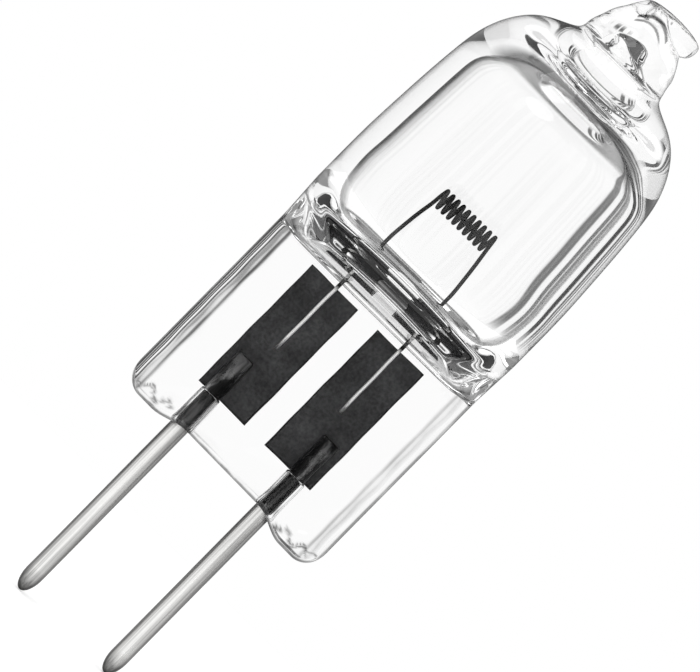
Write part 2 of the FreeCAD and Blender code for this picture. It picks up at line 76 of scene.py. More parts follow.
def make_piece(name, points, faces, finish, slot, node):
    """A smooth mesh object at the origin, from points in millimetres, that stands for a CAD node."""
    mesh = bpy.data.meshes.new(name)
    mesh.from_pydata((points * MM).tolist(), [], [face for group in faces for face in group.tolist()])
    mesh.polygons.foreach_set("use_smooth", np.ones(len(mesh.polygons), dtype=bool))
    mesh.materials.append(finish)
    piece = bpy.data.objects.new(name, mesh)
    bpy.context.collection.objects.link(piece)
    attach(piece, "root")
    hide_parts(node)
    return piece


def turned_piece(radius, height, columns):
    """Points and faces of a profile turned round Z, from a pole at its foot to one at its top.

    A point is (r cos u, r sin u, z), where r and z run along the profile and u runs once round.
    """
    turn = np.linspace(0, 2 * np.pi, columns, endpoint=False)
    inner_r, inner_z = radius[1:-1, None], height[1:-1, None] + 0 * turn
    rings = np.stack([inner_r * np.cos(turn), inner_r * np.sin(turn), inner_z], axis=-1)
    poles = [[0, 0, height[0]], [0, 0, height[-1]]]
    numbers = np.arange(rings.shape[0] * columns).reshape(-1, columns)
    foot, top = numbers.size, numbers.size + 1
    faces = [quads_of(numbers), fan_of(numbers[0], foot, flip=True), fan_of(numbers[-1], top)]
    return np.concatenate([rings.reshape(-1, 3), poles]), faces


def pin_profile():
    """Radius and height of a pin: a quarter ellipse for the nose, the shank, a rounded upper end."""
    turned = np.linspace(0, np.pi / 2, 19)
    rise, nose = PIN_NOSE * (1 - np.cos(turned)), PIN_RADIUS * np.sin(turned)
    lean = np.linspace(0, np.pi / 2, 7)
    top = PIN_RADIUS - PIN_TOP_ROUND * (1 - np.cos(lean))
    top_rise = PIN_TOP - PIN_TOP_ROUND * (1 - np.sin(lean))
    shank = np.linspace(PIN_TIP + PIN_NOSE + SHANK_CLEAR, PIN_TOP - SHANK_CLEAR, 24)
    radius = np.concatenate([nose, np.full_like(shank, PIN_RADIUS), top, [0.0]])
    height = np.concatenate([PIN_TIP + rise, shank, top_rise, [PIN_TOP]])
    return radius, height


def new_finish(name):
    """A material with its node tree and its Principled shader."""
    finish = bpy.data.materials.new(name)
    finish.use_nodes = True
    tree = finish.node_tree
    return finish, tree, tree.nodes["Principled BSDF"]


def grain_of(tree, stretch, scale, detail=4.0):
    """Noise on Object coordinates, drawn out by a stretch along each axis."""
    place = tree.nodes.new("ShaderNodeTexCoord")
    pull = tree.nodes.new("ShaderNodeMapping")
    pull.inputs["Scale"].default_value = stretch
    noise = tree.nodes.new("ShaderNodeTexNoise")
    noise.inputs["Scale"].default_value = scale
    noise.inputs["Detail"].default_value = detail
    tree.links.new(place.outputs["Object"], pull.inputs["Vector"])
    tree.links.new(pull.outputs["Vector"], noise.inputs["Vector"])
    return noise.outputs["Fac"]


def ramp_of(tree, factor, stops):
    """A colour ramp over a factor; each stop is a position and a grey or a colour."""
    ramp = tree.nodes.new("ShaderNodeValToRGB")
    marks = ramp.color_ramp.elements
    for mark in range(2, len(stops)):
        marks.new(mark / len(stops))
    for mark, (position, shade) in zip(marks, stops):
        mark.position = position
        mark.color = (*shade, 1) if isinstance(shade, tuple) else (shade, shade, shade, 1)
    tree.links.new(factor, ramp.inputs["Fac"])
    return ramp.outputs["Color"]


def bump_of(tree, height, depth, strength):
    """A bump of a depth in metres."""
    bump = tree.nodes.new("ShaderNodeBump")
    bump.inputs["Strength"].default_value = strength
    bump.inputs["Distance"].default_value = depth
    tree.links.new(height, bump.inputs["Height"])
    return bump.outputs["Normal"]


def height_share(tree, low, high):
    """0 to 1 between two heights in millimetres, on Object coordinates."""
    place = tree.nodes.new("ShaderNodeTexCoord")
    parts = tree.nodes.new("ShaderNodeSeparateXYZ")
    share = tree.nodes.new("ShaderNodeMapRange")
    share.inputs["From Min"].default_value = low * MM
    share.inputs["From Max"].default_value = high * MM
    tree.links.new(place.outputs["Object"], parts.inputs["Vector"])
    tree.links.new(parts.outputs["Z"], share.inputs["Value"])
    return share.outputs["Result"]


def side_shade(tree, stops):
    """A ramp from a face seen square on to one seen edge on."""
    facing = tree.nodes.new("ShaderNodeLayerWeight")
    facing.inputs["Blend"].default_value = 0.5
    return ramp_of(tree, facing.outputs["Facing"], stops)


def blend_of(tree, kind, factor, first, second):
    """A colour Mix node of two sockets, by a socket or a number."""
    node = tree.nodes.new("ShaderNodeMix")
    node.data_type = "RGBA"
    node.blend_type = kind
    for socket, value in ((node.inputs[0], factor), (node.inputs[6], first), (node.inputs[7], second)):
        if isinstance(value, (float, tuple)):
            socket.default_value = value
        else:
            tree.links.new(value, socket)
    return node.outputs[2]


drawn_pin, tree, metal = new_finish("drawn_molybdenum_pin")
drawing = grain_of(tree, (1, 1, 0.012), 16000)
mottle = grain_of(tree, (1, 1, 0.3), 1800, 2.0)
patches = grain_of(tree, (1, 1, 0.35), 2200, 3.0)
metal.inputs["Metallic"].default_value = 1.0
bright = ramp_of(tree, drawing, [(0.3, PIN_DARK_GREY), (0.62, PIN_GREY)])
# Painted shade: the pin's colour darkens towards its sides where it is seen edge on, standing in for the
# dark surroundings that round metal mirrors there.
rounded = blend_of(tree, "MULTIPLY", 1.0, bright, side_shade(tree, PIN_PAINTED_SIDE_SHADE))
# Painted shade: the colour darkens down the rounded nose towards the tip.
painted_nose_shade = ramp_of(tree, height_share(tree, PIN_TIP, PIN_TIP + PIN_NOSE_SHADE_HEIGHT), PIN_NOSE_SHADE)
bare = blend_of(tree, "MULTIPLY", 1.0, rounded, painted_nose_shade)
# Inside the seal the pin is mottled dark, and darker towards its top.
welded = ramp_of(tree, height_share(tree, 0.0, PIN_TOP), WELD_GREYS)
sealed_tone = blend_of(tree, "MULTIPLY", 1.0, ramp_of(tree, patches, SEALED_MOTTLE), welded)
in_glass = height_share(tree, SEALED_LOW, SEALED_HIGH)
tree.links.new(blend_of(tree, "MIX", in_glass, bare, sealed_tone), metal.inputs["Base Color"])
tree.links.new(ramp_of(tree, mottle, PIN_GLOSS), metal.inputs["Roughness"])
tree.links.new(bump_of(tree, drawing, DRAWN_DEPTH, DRAWN_STRENGTH), metal.inputs["Normal"])

pin_points, pin_faces = turned_piece(*pin_profile(), PIN_COLUMNS)
for side, name in ((-1, "left"), (1, "right")):
    make_piece(f"drawn_pin_{name}", pin_points + [side * PIN_X, 0, 0], pin_faces, drawn_pin,
               "molybdenum_pin", f"pin_{name}")


# Foils
#
# Two strips of molybdenum foil, rolled thin and etched to a knife edge along both sides so that the
# quartz can close on them. Each lies flat in the middle of the seal, behind its pin and its lead.

FOIL_X = 1.55
FOIL_HALF, FOIL_FEATHER = 1.09, 0.25
FOIL_FRONT, FOIL_THICK = 0.30, 0.04
FOIL_LOW, FOIL_HIGH = 1.5, 6.94
FOIL_GREY = (0.085, 0.085, 0.087)
FOIL_DARK = (0.046, 0.046, 0.047)
FOIL_EDGE_TINT = (0.3, 0.3, 0.3)
FOIL_ETCHED = [(0.3, 0.6), (0.7, 1.0)]
FOIL_GLOSS = [(0.3, 0.42), (0.7, 0.52)]
LONG_WAVE, SHORT_WAVE = 0.004, 0.003
ROLLED_DEPTH, ROLLED_STRENGTH = 0.000004, 0.1


def foil_surface(side):
    """A flat front and a feathered back, as a closed section carried up the length of the foil.

    The section runs across the front at y = 0 and back over y = t min(1, d / f), where d is the
    distance from the nearer edge and f the width of the feather. Both faces share a slight wave.
    """
    across = np.linspace(-1, 1, 25)
    depth = FOIL_THICK * np.minimum(1, (1 - np.abs(across)) * FOIL_HALF / FOIL_FEATHER)
    section_x = np.concatenate([across, across[-2:0:-1]]) * FOIL_HALF
    section_y = np.concatenate([0 * across, depth[-2:0:-1]])
    level = np.linspace(FOIL_LOW, FOIL_HIGH, 61)[:, None]
    wave = (LONG_WAVE * np.sin(2.1 * level + 2.7 * section_x + side)
            + SHORT_WAVE * np.sin(5.3 * level - 1.9 * section_x))
    rings = np.stack([side * FOIL_X + section_x + 0 * level, FOIL_FRONT + section_y + wave,
                      level + 0 * section_x], axis=-1)
    numbers = np.arange(rings.shape[0] * rings.shape[1]).reshape(rings.shape[:2])
    faces = [quads_of(numbers), numbers[:1, ::-1], numbers[-1:]]
    return rings.reshape(-1, 3), faces


rolled_foil, tree, metal = new_finish("rolled_molybdenum_foil")
rolling = grain_of(tree, (1, 1, 0.05), 5200)
cloud = grain_of(tree, (1, 1, 1), 900, 3.0)
specks = grain_of(tree, (1, 1, 1), 9000, 2.0)
metal.inputs["Metallic"].default_value = 1.0
metal.inputs["Specular Tint"].default_value = (*FOIL_EDGE_TINT, 1)
etched = ramp_of(tree, specks, FOIL_ETCHED)
clouded = ramp_of(tree, cloud, [(0.32, FOIL_DARK), (0.68, FOIL_GREY)])
tree.links.new(blend_of(tree, "MULTIPLY", 1.0, clouded, etched), metal.inputs["Base Color"])
tree.links.new(ramp_of(tree, rolling, FOIL_GLOSS), metal.inputs["Roughness"])
tree.links.new(bump_of(tree, rolling, ROLLED_DEPTH, ROLLED_STRENGTH), metal.inputs["Normal"])

for side, name in ((-1, "left"), (1, "right")):
    make_piece(f"rolled_foil_{name}", *foil_surface(side), rolled_foil,
               "molybdenum_foil", f"foil_{name}")


# Filament
#
# One tungsten wire, wound on a mandrel into an open coil and annealed, so that its ends stay as they
# were bent: two legs that stand in the chamber floor and run on down to their welds on the foils.

WIRE_RADIUS, WIRE_COLUMNS = 0.07, 12
COIL_RADIUS, COIL_PITCH, COIL_TURNS, COIL_Z = 0.34, 0.247, 9.5, 11.58
TURN_STEPS = 24
LEFT_LEG = [(-1.52, 0.245, 4.08), (-1.51, 0.245, 5.5), (-1.50, 0.245, 7.2), (-1.48, 0.235, 8.6),
            (-1.44, 0.15, 9.3), (-1.37, -0.02, 10.0), (-1.27, -0.22, 10.8), (-1.19, -0.335, 11.35)]
RIGHT_LEG = [(1.20, 0.335, 11.35), (1.27, 0.31, 10.8), (1.36, 0.28, 10.0), (1.43, 0.255, 9.3),
             (1.47, 0.245, 8.6), (1.49, 0.245, 7.2), (1.50, 0.245, 5.5), (1.50, 0.245, 4.08)]
TUNGSTEN = (0.022, 0.0215, 0.021)
TUNGSTEN_DARK = (0.008, 0.008, 0.008)
PAINTED_LEAD_GLINT = (0.95, 0.945, 0.93)
GLINT_FROM, GLINT_BELOW = 7.05, 6.85
WIRE_EDGE_TINT = (0.25, 0.25, 0.25)
WIRE_GLOSS = [(0.3, 0.3), (0.7, 0.45)]


def smooth_through(knots, steps):
    """A natural cubic spline through the knots, by the lengths of their chords.

    Its bending moments m solve the usual three-term system, and each span is then the cubic with
    those moments at its two ends. It is read at equal steps, with this many to a span.
    """
    knots = np.asarray(knots, dtype=float)
    chord = np.linalg.norm(np.diff(knots, axis=0), axis=1)
    at = np.concatenate([[0], np.cumsum(chord)])
    slope = np.diff(knots, axis=0) / chord[:, None]
    count = len(knots)
    system = np.eye(count)
    inner = np.arange(1, count - 1)
    system[inner, inner - 1] = chord[:-1]
    system[inner, inner] = 2 * (chord[:-1] + chord[1:])
    system[inner, inner + 1] = chord[1:]
    bend = np.zeros_like(knots)
    bend[1:-1] = 6 * np.diff(slope, axis=0)
    moment = np.linalg.solve(system, bend)
    read = np.interp(np.linspace(0, count - 1, (count - 1) * steps + 1), np.arange(count), at)
    span = np.clip(np.searchsorted(at, read, side="right") - 1, 0, count - 2)
    left, right = (read - at[span])[:, None], (at[span + 1] - read)[:, None]
    width = chord[span][:, None]
    cubic = (moment[span] * right ** 3 + moment[span + 1] * left ** 3) / (6 * width)
    return (cubic + (knots[span] / width - moment[span] * width / 6) * right
            + (knots[span + 1] / width - moment[span + 1] * width / 6) * left)


def filament_path():
    """One spline up a leg, along the helix (p a / 2 pi, -R cos a, R sin a) and down the other leg.

    In the helix p is the pitch, R the radius and a the angle that the coil has turned through.
    """
    turn = np.linspace(0, 2 * np.pi * COIL_TURNS, int(TURN_STEPS * COIL_TURNS) + 1)
    along = COIL_PITCH * (turn / (2 * np.pi) - COIL_TURNS / 2)
    helix = np.stack([along, -COIL_RADIUS * np.cos(turn), COIL_Z + COIL_RADIUS * np.sin(turn)],
                     axis=-1)
    return smooth_through(np.concatenate([LEFT_LEG, helix, RIGHT_LEG]), 2)


def wire_along(path, radius, columns):
    """A round section carried along a path, square to it, with one axis kept as near X as it can be."""
    tangent = np.gradient(path, axis=0)
    tangent /= np.linalg.norm(tangent, axis=1, keepdims=True)
    across = np.array([1.0, 0, 0]) - tangent[:, :1] * tangent
    across /= np.linalg.norm(across, axis=1, keepdims=True)
    other = np.cross(tangent, across)
    turn = np.linspace(0, 2 * np.pi, columns, endpoint=False)[None, :, None]
    rings = path[:, None] + radius * (across[:, None] * np.cos(turn) + other[:, None] * np.sin(turn))
    numbers = np.arange(rings.shape[0] * columns).reshape(-1, columns)
    points = np.concatenate([rings.reshape(-1, 3), path[:1], path[-1:]])
    faces = [quads_of(numbers), fan_of(numbers[0], numbers.size, flip=True),
             fan_of(numbers[-1], numbers.size + 1)]
    return points, faces


wound_wire, tree, metal = new_finish("wound_tungsten_wire")
die_marks = grain_of(tree, (1, 1, 1), 14000)
metal.inputs["Metallic"].default_value = 1.0
metal.inputs["Specular Tint"].default_value = (*WIRE_EDGE_TINT, 1)
dark_wire = ramp_of(tree, die_marks, [(0.3, TUNGSTEN_DARK), (0.7, TUNGSTEN)])
# Painted highlight: below the chamber floor the legs turn near white, the glint of the leads where they
# lie on the foils in the seal.
glint_share = height_share(tree, GLINT_FROM, GLINT_BELOW)
wire_colour = blend_of(tree, "MIX", glint_share, dark_wire, (*PAINTED_LEAD_GLINT, 1))
tree.links.new(wire_colour, metal.inputs["Base Color"])
tree.links.new(ramp_of(tree, die_marks, WIRE_GLOSS), metal.inputs["Roughness"])

wire_points, wire_faces = wire_along(filament_path(), WIRE_RADIUS, WIRE_COLUMNS)
make_piece("wound_filament", wire_points, wire_faces, wound_wire, "tungsten", "filament")


# Quartz envelope
#
# One tube of fused quartz. Its lower end was softened and pressed between jaws round the foils, which
# left a slab with rounded edges and two feet; its upper end was closed by melting off the exhaust tube.

QUADRANT, CHAMBER_COLUMNS = 60, 128
SEAL_HALF, SEAL_DEEP, SEAL_CORNER = 4.5, 1.2, 0.55
PRESS_WAVE, PRESS_RIPPLE = 0.010, 0.006
WEB_TOP, SHOULDER_LOW, SHOULDER_MIDDLE, SHOULDER_HIGH = 7.0, 7.4, 9.3, 10.5
JAW_SLOPE, JAW_ROUND, LEAST_RISE = 7.0, 0.05, 0.4
CHEEK_START, CHEEK_RISE = 2.6, 1.4
BULB_RADIUS = 4.6
FOOT_DROP, FOOT_LEAN, FOOT_ROUND, FOOT_START = 0.36, 0.06, 0.8, 3.7
DROP_START, DROP_END, BASE_TILT = 1.75, 3.1, 0.02
RIM_ROUND = 0.14
RAIL_X, RAIL_LINE = 3.92, 0.05
MOUTH, MOUTH_FLARE = 0.55, 0.16
CAPILLARY, CAPILLARY_TOP, CAPILLARY_ROUND, PIN_GRIP = 0.42, 1.5, 0.1, 0.02
BULB_PROFILE = [(4.6, 10.5), (4.585, 11.6), (4.52, 12.9), (4.43, 14.3), (4.32, 15.5), (4.17, 16.45),
                (3.94, 17.12), (3.57, 17.76), (3.08, 18.27), (2.52, 18.6), (2.05, 18.83), (1.83, 19.02),
                (1.765, 19.25), (1.70, 19.55), (1.62, 19.83), (1.47, 20.18), (1.28, 20.49), (1.04, 20.89),
                (0.84, 21.2)]
BEAD_X, BEAD_Z, BEAD_FLAT, BEAD_HALF, BEAD_BLEND = 0.56, 20.99, 0.55, 0.45, 0.16
CROWN_X, CROWN_RISE = 0.35, 0.235
CROWN_START, CROWN_END = math.radians(8), math.radians(86)
MELT_WAVE, BORE_LEAN, BORE_RUFFLE = 0.012, 0.16, 0.08
MELT_FROM, LEAN_FROM, RUFFLE_FROM = (19.0, 19.8), (18.9, 19.8), (18.8, 19.3)
CHAMBER = [(0.01, 0.003, 7.98), (1.4, 0.35, 8.01), (2.25, 0.75, 8.11), (2.75, 1.02, 8.25),
           (2.98, 1.22, 8.39), (3.1, 1.42, 8.52), (3.17, 1.75, 8.59), (3.28, 2.6, 8.61),
           (3.42, 3.3, 8.65), (3.55, 3.7, 8.82), (3.75, 3.82, 9.25), (3.89, 3.87, 10.0),
           (3.93, 3.9, 10.95), (3.89, 3.89, 11.7), (3.83, 3.83, 12.7), (3.75, 3.75, 13.9),
           (3.67, 3.67, 15.1), (3.55, 3.55, 15.9), (3.29, 3.29, 16.45), (2.8, 2.8, 16.98),
           (2.2, 2.2, 17.22), (1.75, 1.75, 17.27), (1.45, 1.45, 17.36), (1.33, 1.33, 17.6),
           (1.3, 1.3, 18.1), (1.2, 1.2, 18.5), (0.95, 0.95, 18.72), (0.72, 0.72, 18.95),
           (0.62, 0.62, 19.2), (0.5, 0.5, 19.5), (0.28, 0.28, 19.72), (0.01, 0.01, 19.78)]
FLOOR_BOW, BOW_FROM, BOW_TO = 0.2, (8.2, 8.6), (8.8, 10.0)
MENISCUS = [(-1.48, 0.24), (1.47, 0.245)]
MENISCUS_RISE, MENISCUS_WIDTH, MENISCUS_TO = 0.12, 0.25, (8.15, 9.3)
LEFT_LINE_SHADE, RIGHT_LINE_SHADE, SLAB_TO = 1.0, 0.5, (7.4, 7.7)
SIDE_FROM, SIDE_DEEP, RAIL_DEEP = (4.35, 4.43), (0.6, 0.78), (0.6, 0.9)
FOOT_FROM, FOLD_FROM, FOLD_TO = (2.2, 3.2), (2.5, 2.7), (4.0, 4.2)
FOLD_RISE, FOLD_WAVE, FOLD_LINE = 0.36, 0.16, 0.05
ARCH_X, ARCH_Z, ARCH_BEND, ARCH_HALF, ARCH_FROM = -0.05, 20.9, 0.9, 0.65, (20.2, 20.4)
PUCKER_X, PUCKER_Z = -0.65, 21.25
QUARTZ_IOR = 1.458
RIPPLE_DEPTH, RIPPLE_STRENGTH = 0.00003, 0.12
OUTER_EDGE_SHADE = [(0.0, 1.0), (0.72, 1.0), (0.86, 0.3), (0.95, 0.02)]
INNER_EDGE_SHADE = [(0.0, 1.0), (0.58, 1.0), (0.68, 0.25), (0.8, 0.01)]
LINE_SHADE_GREYS = [(0.0, 1.0), (0.12, 0.75), (0.4, 0.12), (1.0, 0.01)]
LINE_SHADE_BREAKS = [(0.3, 0.4), (0.6, 1.0)]
TRAPPED_AFTER, CLEAR_GREY = 4.5, (0.88, 0.88, 0.88)


def ease(low, high, value):
    """0 below low, 1 above high, and the S curve 3 t^2 - 2 t^3 between them."""
    share = np.clip((value - low) / (high - low), 0, 1)
    return share * share * (3 - 2 * share)


def seal_section():
    """The pressed slab's outline once round: a rectangle with rounded corners, by its own length.

    A quarter of it is half an end, a corner arc and half a face. Its points are spread by a weight
    that is five times as great at the corner, and the quarter is then mirrored into the other three.
    """
    flat_end, flat_face = SEAL_DEEP - SEAL_CORNER, SEAL_HALF - SEAL_CORNER
    arc = SEAL_CORNER * np.pi / 2
    length = np.linspace(0, flat_end + arc + flat_face, 2000)
    weight = 1 + 4 * np.exp(-((length - flat_end - arc / 2) / 0.65) ** 2)
    share = np.concatenate([[0], np.cumsum((weight[1:] + weight[:-1]) / 2)])
    place = np.interp(np.linspace(0, share[-1], QUADRANT + 1), share, length)
    lean = np.clip((place - flat_end) / SEAL_CORNER, 0, np.pi / 2)
    x = flat_face - np.maximum(place - flat_end - arc, 0) + SEAL_CORNER * np.cos(lean)
    y = np.minimum(place, flat_end) + SEAL_CORNER * np.sin(lean)
    column = np.arange(4 * QUADRANT)
    quarter, step = column // QUADRANT, column % QUADRANT
    step = np.where(quarter % 2 == 1, QUADRANT - step, step)
    sign_x = np.where((quarter == 0) | (quarter == 3), 1, -1)
    sign_y = np.where(quarter < 2, 1, -1)
    return sign_x * x[step], sign_y * y[step]


def base_level(x):
    """Height of the lower end across the seal: level between the pins, dropping to two rounded feet."""
    out = np.abs(x)
    drop = -(FOOT_DROP + FOOT_LEAN * np.sign(x)) * ease(DROP_START, DROP_END, out) - BASE_TILT * x
    past = np.clip(out - FOOT_START, 0, FOOT_ROUND)
    return drop + FOOT_ROUND - np.sqrt(FOOT_ROUND ** 2 - past ** 2)


def seal_skin(x, y):
    """Rings of the slab, from its rounded lower rim up to the mark that the jaws left.

    The rim is a quarter circle drawn in from the outline; above it the rings rise from the lower end
    to a level top. The faces carry a wave of a few hundredths, as pressed quartz does.
    """
    lean = np.linspace(np.pi / 2, 0, 7)[:, None]
    inset = RIM_ROUND * (1 - np.cos(lean))
    rim_x, rim_y = x * (1 - inset / SEAL_HALF), y * (1 - inset / SEAL_DEEP)
    rim = np.stack([rim_x, rim_y, base_level(rim_x) + RIM_ROUND * (1 - np.sin(lean))], axis=-1)
    rise = np.linspace(0, 1, 64)[1:, None] ** 1.35
    low = base_level(x) + RIM_ROUND
    level = low + (WEB_TOP - low) * rise
    wave = (PRESS_WAVE * np.sin(1.7 * level + 0.8 * x) * np.sin(1.1 * x + 0.4)
            + PRESS_RIPPLE * np.sin(3.9 * level - 2.3 * x))
    wall = np.stack([x + 0 * level, y * (1 + wave / SEAL_DEEP), level], axis=-1)
    return np.concatenate([rim, wall])


def shoulder_skin(x, y):
    """Rings from the jaws' mark to the round bulb.

    Each point of the slab's outline goes up a straight line to its place on the bulb. The line's rise
    is its gain in depth divided by the slope of the jaws, and more towards the sides, where the tube
    kept its width: so the faces are shelves and each corner is a cheek between them. A difference of
    two soft plus curves rounds both ends of the line.
    """
    turn = np.linspace(0, 2 * np.pi, 4 * QUADRANT, endpoint=False)
    level = np.concatenate([np.linspace(WEB_TOP, SHOULDER_LOW, 8)[1:],
                            np.linspace(SHOULDER_LOW, SHOULDER_MIDDLE, 56)[1:],
                            np.linspace(SHOULDER_MIDDLE, SHOULDER_HIGH, 10)[1:]])[:, None]
    bulb_x, bulb_y = BULB_RADIUS * np.cos(turn), BULB_RADIUS * np.sin(turn)
    cheek = np.clip((np.abs(bulb_x) - CHEEK_START) / (BULB_RADIUS - CHEEK_START), 0, 1)
    rise = np.maximum((np.abs(bulb_y) - SEAL_DEEP) / JAW_SLOPE, LEAST_RISE) + CHEEK_RISE * cheek
    climb, soft = (level - SHOULDER_LOW) / rise, JAW_ROUND / rise
    share = soft * (np.logaddexp(0, climb / soft) - np.logaddexp(0, (climb - 1) / soft))
    return np.stack([x + share * (bulb_x - x), y + share * (bulb_y - y), level + 0 * turn], axis=-1)


def bulb_skin():
    """Rings of the bulb, the dome and the stub, with the melted bead to one side of its end.

    The radius follows a spline. Near the end it is the smooth greater of the stub's radius and the
    distance c cos u + sqrt(R^2 - c^2 sin^2 u) to the rim of a disc that stands off the axis by c.
    The crown closes the last ring towards a point above it along a quarter ellipse.
    """
    turn = np.linspace(0, 2 * np.pi, 4 * QUADRANT, endpoint=False)
    profile = smooth_through(BULB_PROFILE, 7)[1:]
    radius, level = profile[:, :1] + 0 * turn, profile[:, 1:] + 0 * turn
    inside = np.clip(BEAD_HALF ** 2 - (level - BEAD_Z) ** 2, 0, None)
    disc = (BEAD_FLAT + np.sqrt(inside)) * ease(-0.02, 0.06, inside)
    reach = BEAD_X * np.cos(turn) + np.sqrt(np.clip(disc ** 2 - (BEAD_X * np.sin(turn)) ** 2, 0, None))
    blend = np.clip(0.5 + (reach - radius) / BEAD_BLEND, 0, 1)
    radius = radius + (reach - radius) * blend + BEAD_BLEND / 2 * blend * (1 - blend)
    melt = np.sin(3 * turn + 5.1 * level) + 0.7 * np.sin(5 * turn - 7.3 * level + 1.0)
    radius = radius * (1 + MELT_WAVE * melt * ease(*MELT_FROM, level))
    rings = np.stack([radius * np.cos(turn), radius * np.sin(turn), level], axis=-1)
    lean = np.linspace(CROWN_START, CROWN_END, 14)[1:, None]
    shrink = np.cos(lean) / math.cos(CROWN_START)
    lift = (np.sin(lean) - math.sin(CROWN_START)) / (1 - math.sin(CROWN_START))
    last = rings[-1]
    crown = np.stack([CROWN_X + (last[:, 0] - CROWN_X) * shrink, last[:, 1] * shrink,
                      last[:, 2] + CROWN_RISE * lift], axis=-1)
    return np.concatenate([rings, crown])


def mouth_skin(side, loop):
    """Rings from one half of the lower rim, in over the base to a pin's channel and up round the pin.

    Over the base a ring is drawn from the rim towards the mouth's circle, at the base's own height.
    In the channel it is a circle that flares at the mouth and closes on the pin at its upper end.
    """
    centre = np.array([side * PIN_X, 0])
    away = loop[:, :2] - centre
    spoke = away / np.linalg.norm(away, axis=1, keepdims=True)
    mouth = centre + MOUTH * spoke
    draw = (np.linspace(0, 1, 19)[1:] ** 0.9)[:, None, None]
    flat = loop[:, :2] * (1 - draw) + mouth * draw
    base = np.concatenate([flat, base_level(flat[..., :1])], axis=-1)
    climb = np.linspace(0, 1, 20)[1:, None]
    low = base_level(mouth[:, 0])
    level = low + (CAPILLARY_TOP - CAPILLARY_ROUND - low) * climb ** 1.6
    width = CAPILLARY + (MOUTH - CAPILLARY) * np.exp(-(level - low) / MOUTH_FLARE)
    channel = np.concatenate([centre + width[..., None] * spoke, level[..., None]], axis=-1)
    close = np.linspace(0, np.pi / 2, 6)[1:, None, None]
    shut = PIN_RADIUS - PIN_GRIP + (CAPILLARY - PIN_RADIUS + PIN_GRIP) * np.cos(close)
    cap_level = CAPILLARY_TOP - CAPILLARY_ROUND * (1 - np.sin(close)) + 0 * away[:, :1]
    cap = np.concatenate([centre + shut * spoke, cap_level], axis=-1)
    return np.concatenate([base, channel, cap])


def chamber_skin(columns):
    """Rings of the chamber and the exhaust bore: ellipses whose two half axes follow one spline.

    The lowest are a trough that the jaws left in the floor, which bows up towards the faces of the
    seal. A bell-shaped lift raises the trough into a small cone of glass round each leg. At its end
    the bore leans to one side and is a little ruffled.
    """
    turn = np.linspace(0, 2 * np.pi, columns, endpoint=False)
    spine = smooth_through(CHAMBER, 5)
    half_x, half_y, level = spine[:, :1], spine[:, 1:2], spine[:, 2:] + 0 * turn
    x, y = half_x * np.cos(turn), half_y * np.sin(turn)
    lift = sum(np.exp(-((x - leg_x) / MENISCUS_WIDTH) ** 2 - ((y - leg_y) / (2 * MENISCUS_WIDTH)) ** 2)
               for leg_x, leg_y in MENISCUS)
    bow = FLOOR_BOW * (np.sin(turn) ** 2 - 0.5) * ease(*BOW_FROM, level) * (1 - ease(*BOW_TO, level))
    level = level + bow + MENISCUS_RISE * lift * (1 - ease(*MENISCUS_TO, level))
    lean = BORE_LEAN * ease(*LEAN_FROM, level)
    ruffle = 1 + BORE_RUFFLE * np.sin(2 * turn + 9 * level) * ease(*RUFFLE_FROM, level)
    return np.stack([x * ruffle - lean, y * ruffle, level], axis=-1)


def line_shade_of(points):
    """How dark the painted shade lines in the glass are, from 0 to 1, at each point of the envelope.

    It is the greatest of a share for the narrow sides of the slab, a bell-shaped line along each rail,
    the lower rim, the pins' channels, a wavy fold in each foot, two arches and a pucker in the melted
    tip and the jaws' mark under the shoulder.
    """
    def line(away, width):
        """The bell curve exp(-(d / w)^2) over the distance d from a line of width w."""
        return np.exp(-(away / width) ** 2)

    x, y, z = points.T
    out, deep, above_base = np.abs(x), np.abs(y), z - base_level(x)
    slab = 1 - ease(*SLAB_TO, z)
    hard = np.where(x < 0, LEFT_LINE_SHADE, RIGHT_LINE_SHADE)
    side = hard * ease(*SIDE_FROM, out) * ease(*SIDE_DEEP, deep) * slab
    rail = 0.6 * hard * line(out - RAIL_X, RAIL_LINE) * ease(*RAIL_DEEP, deep) * slab
    foot = 0.8 + 0.2 * ease(*FOOT_FROM, out)
    rim = foot * line(above_base - 0.03, 0.07) * (out < SEAL_HALF + 0.01)
    channel = 0.6 * (np.hypot(out - PIN_X, y) < MOUTH + 0.02) * (z < CAPILLARY_TOP + 0.01)
    in_foot = ease(*FOLD_FROM, out) * (1 - ease(*FOLD_TO, out))
    fold_rise = FOLD_RISE + FOLD_WAVE * np.sin(8.5 * x + 0.6)
    fold = 0.55 * line(above_base - fold_rise, FOLD_LINE) * in_foot
    above_arch = z - ARCH_Z + ARCH_BEND * (x - ARCH_X) ** 2
    arch = line(above_arch, 0.06) + 0.7 * line(above_arch + 0.3 + 0.15 * x, 0.05)
    arch = arch * (np.abs(x - ARCH_X) < ARCH_HALF) * ease(*ARCH_FROM, z)
    pucker = 0.9 * line(x - PUCKER_X, 0.22) * line(z - PUCKER_Z, 0.12)
    mark = 0.4 * line(z - SHOULDER_LOW, 0.05) * (out < 4.3)
    return np.clip(np.maximum.reduce([side, rail, rim, channel, fold, arch, pucker, mark]), 0, 1)


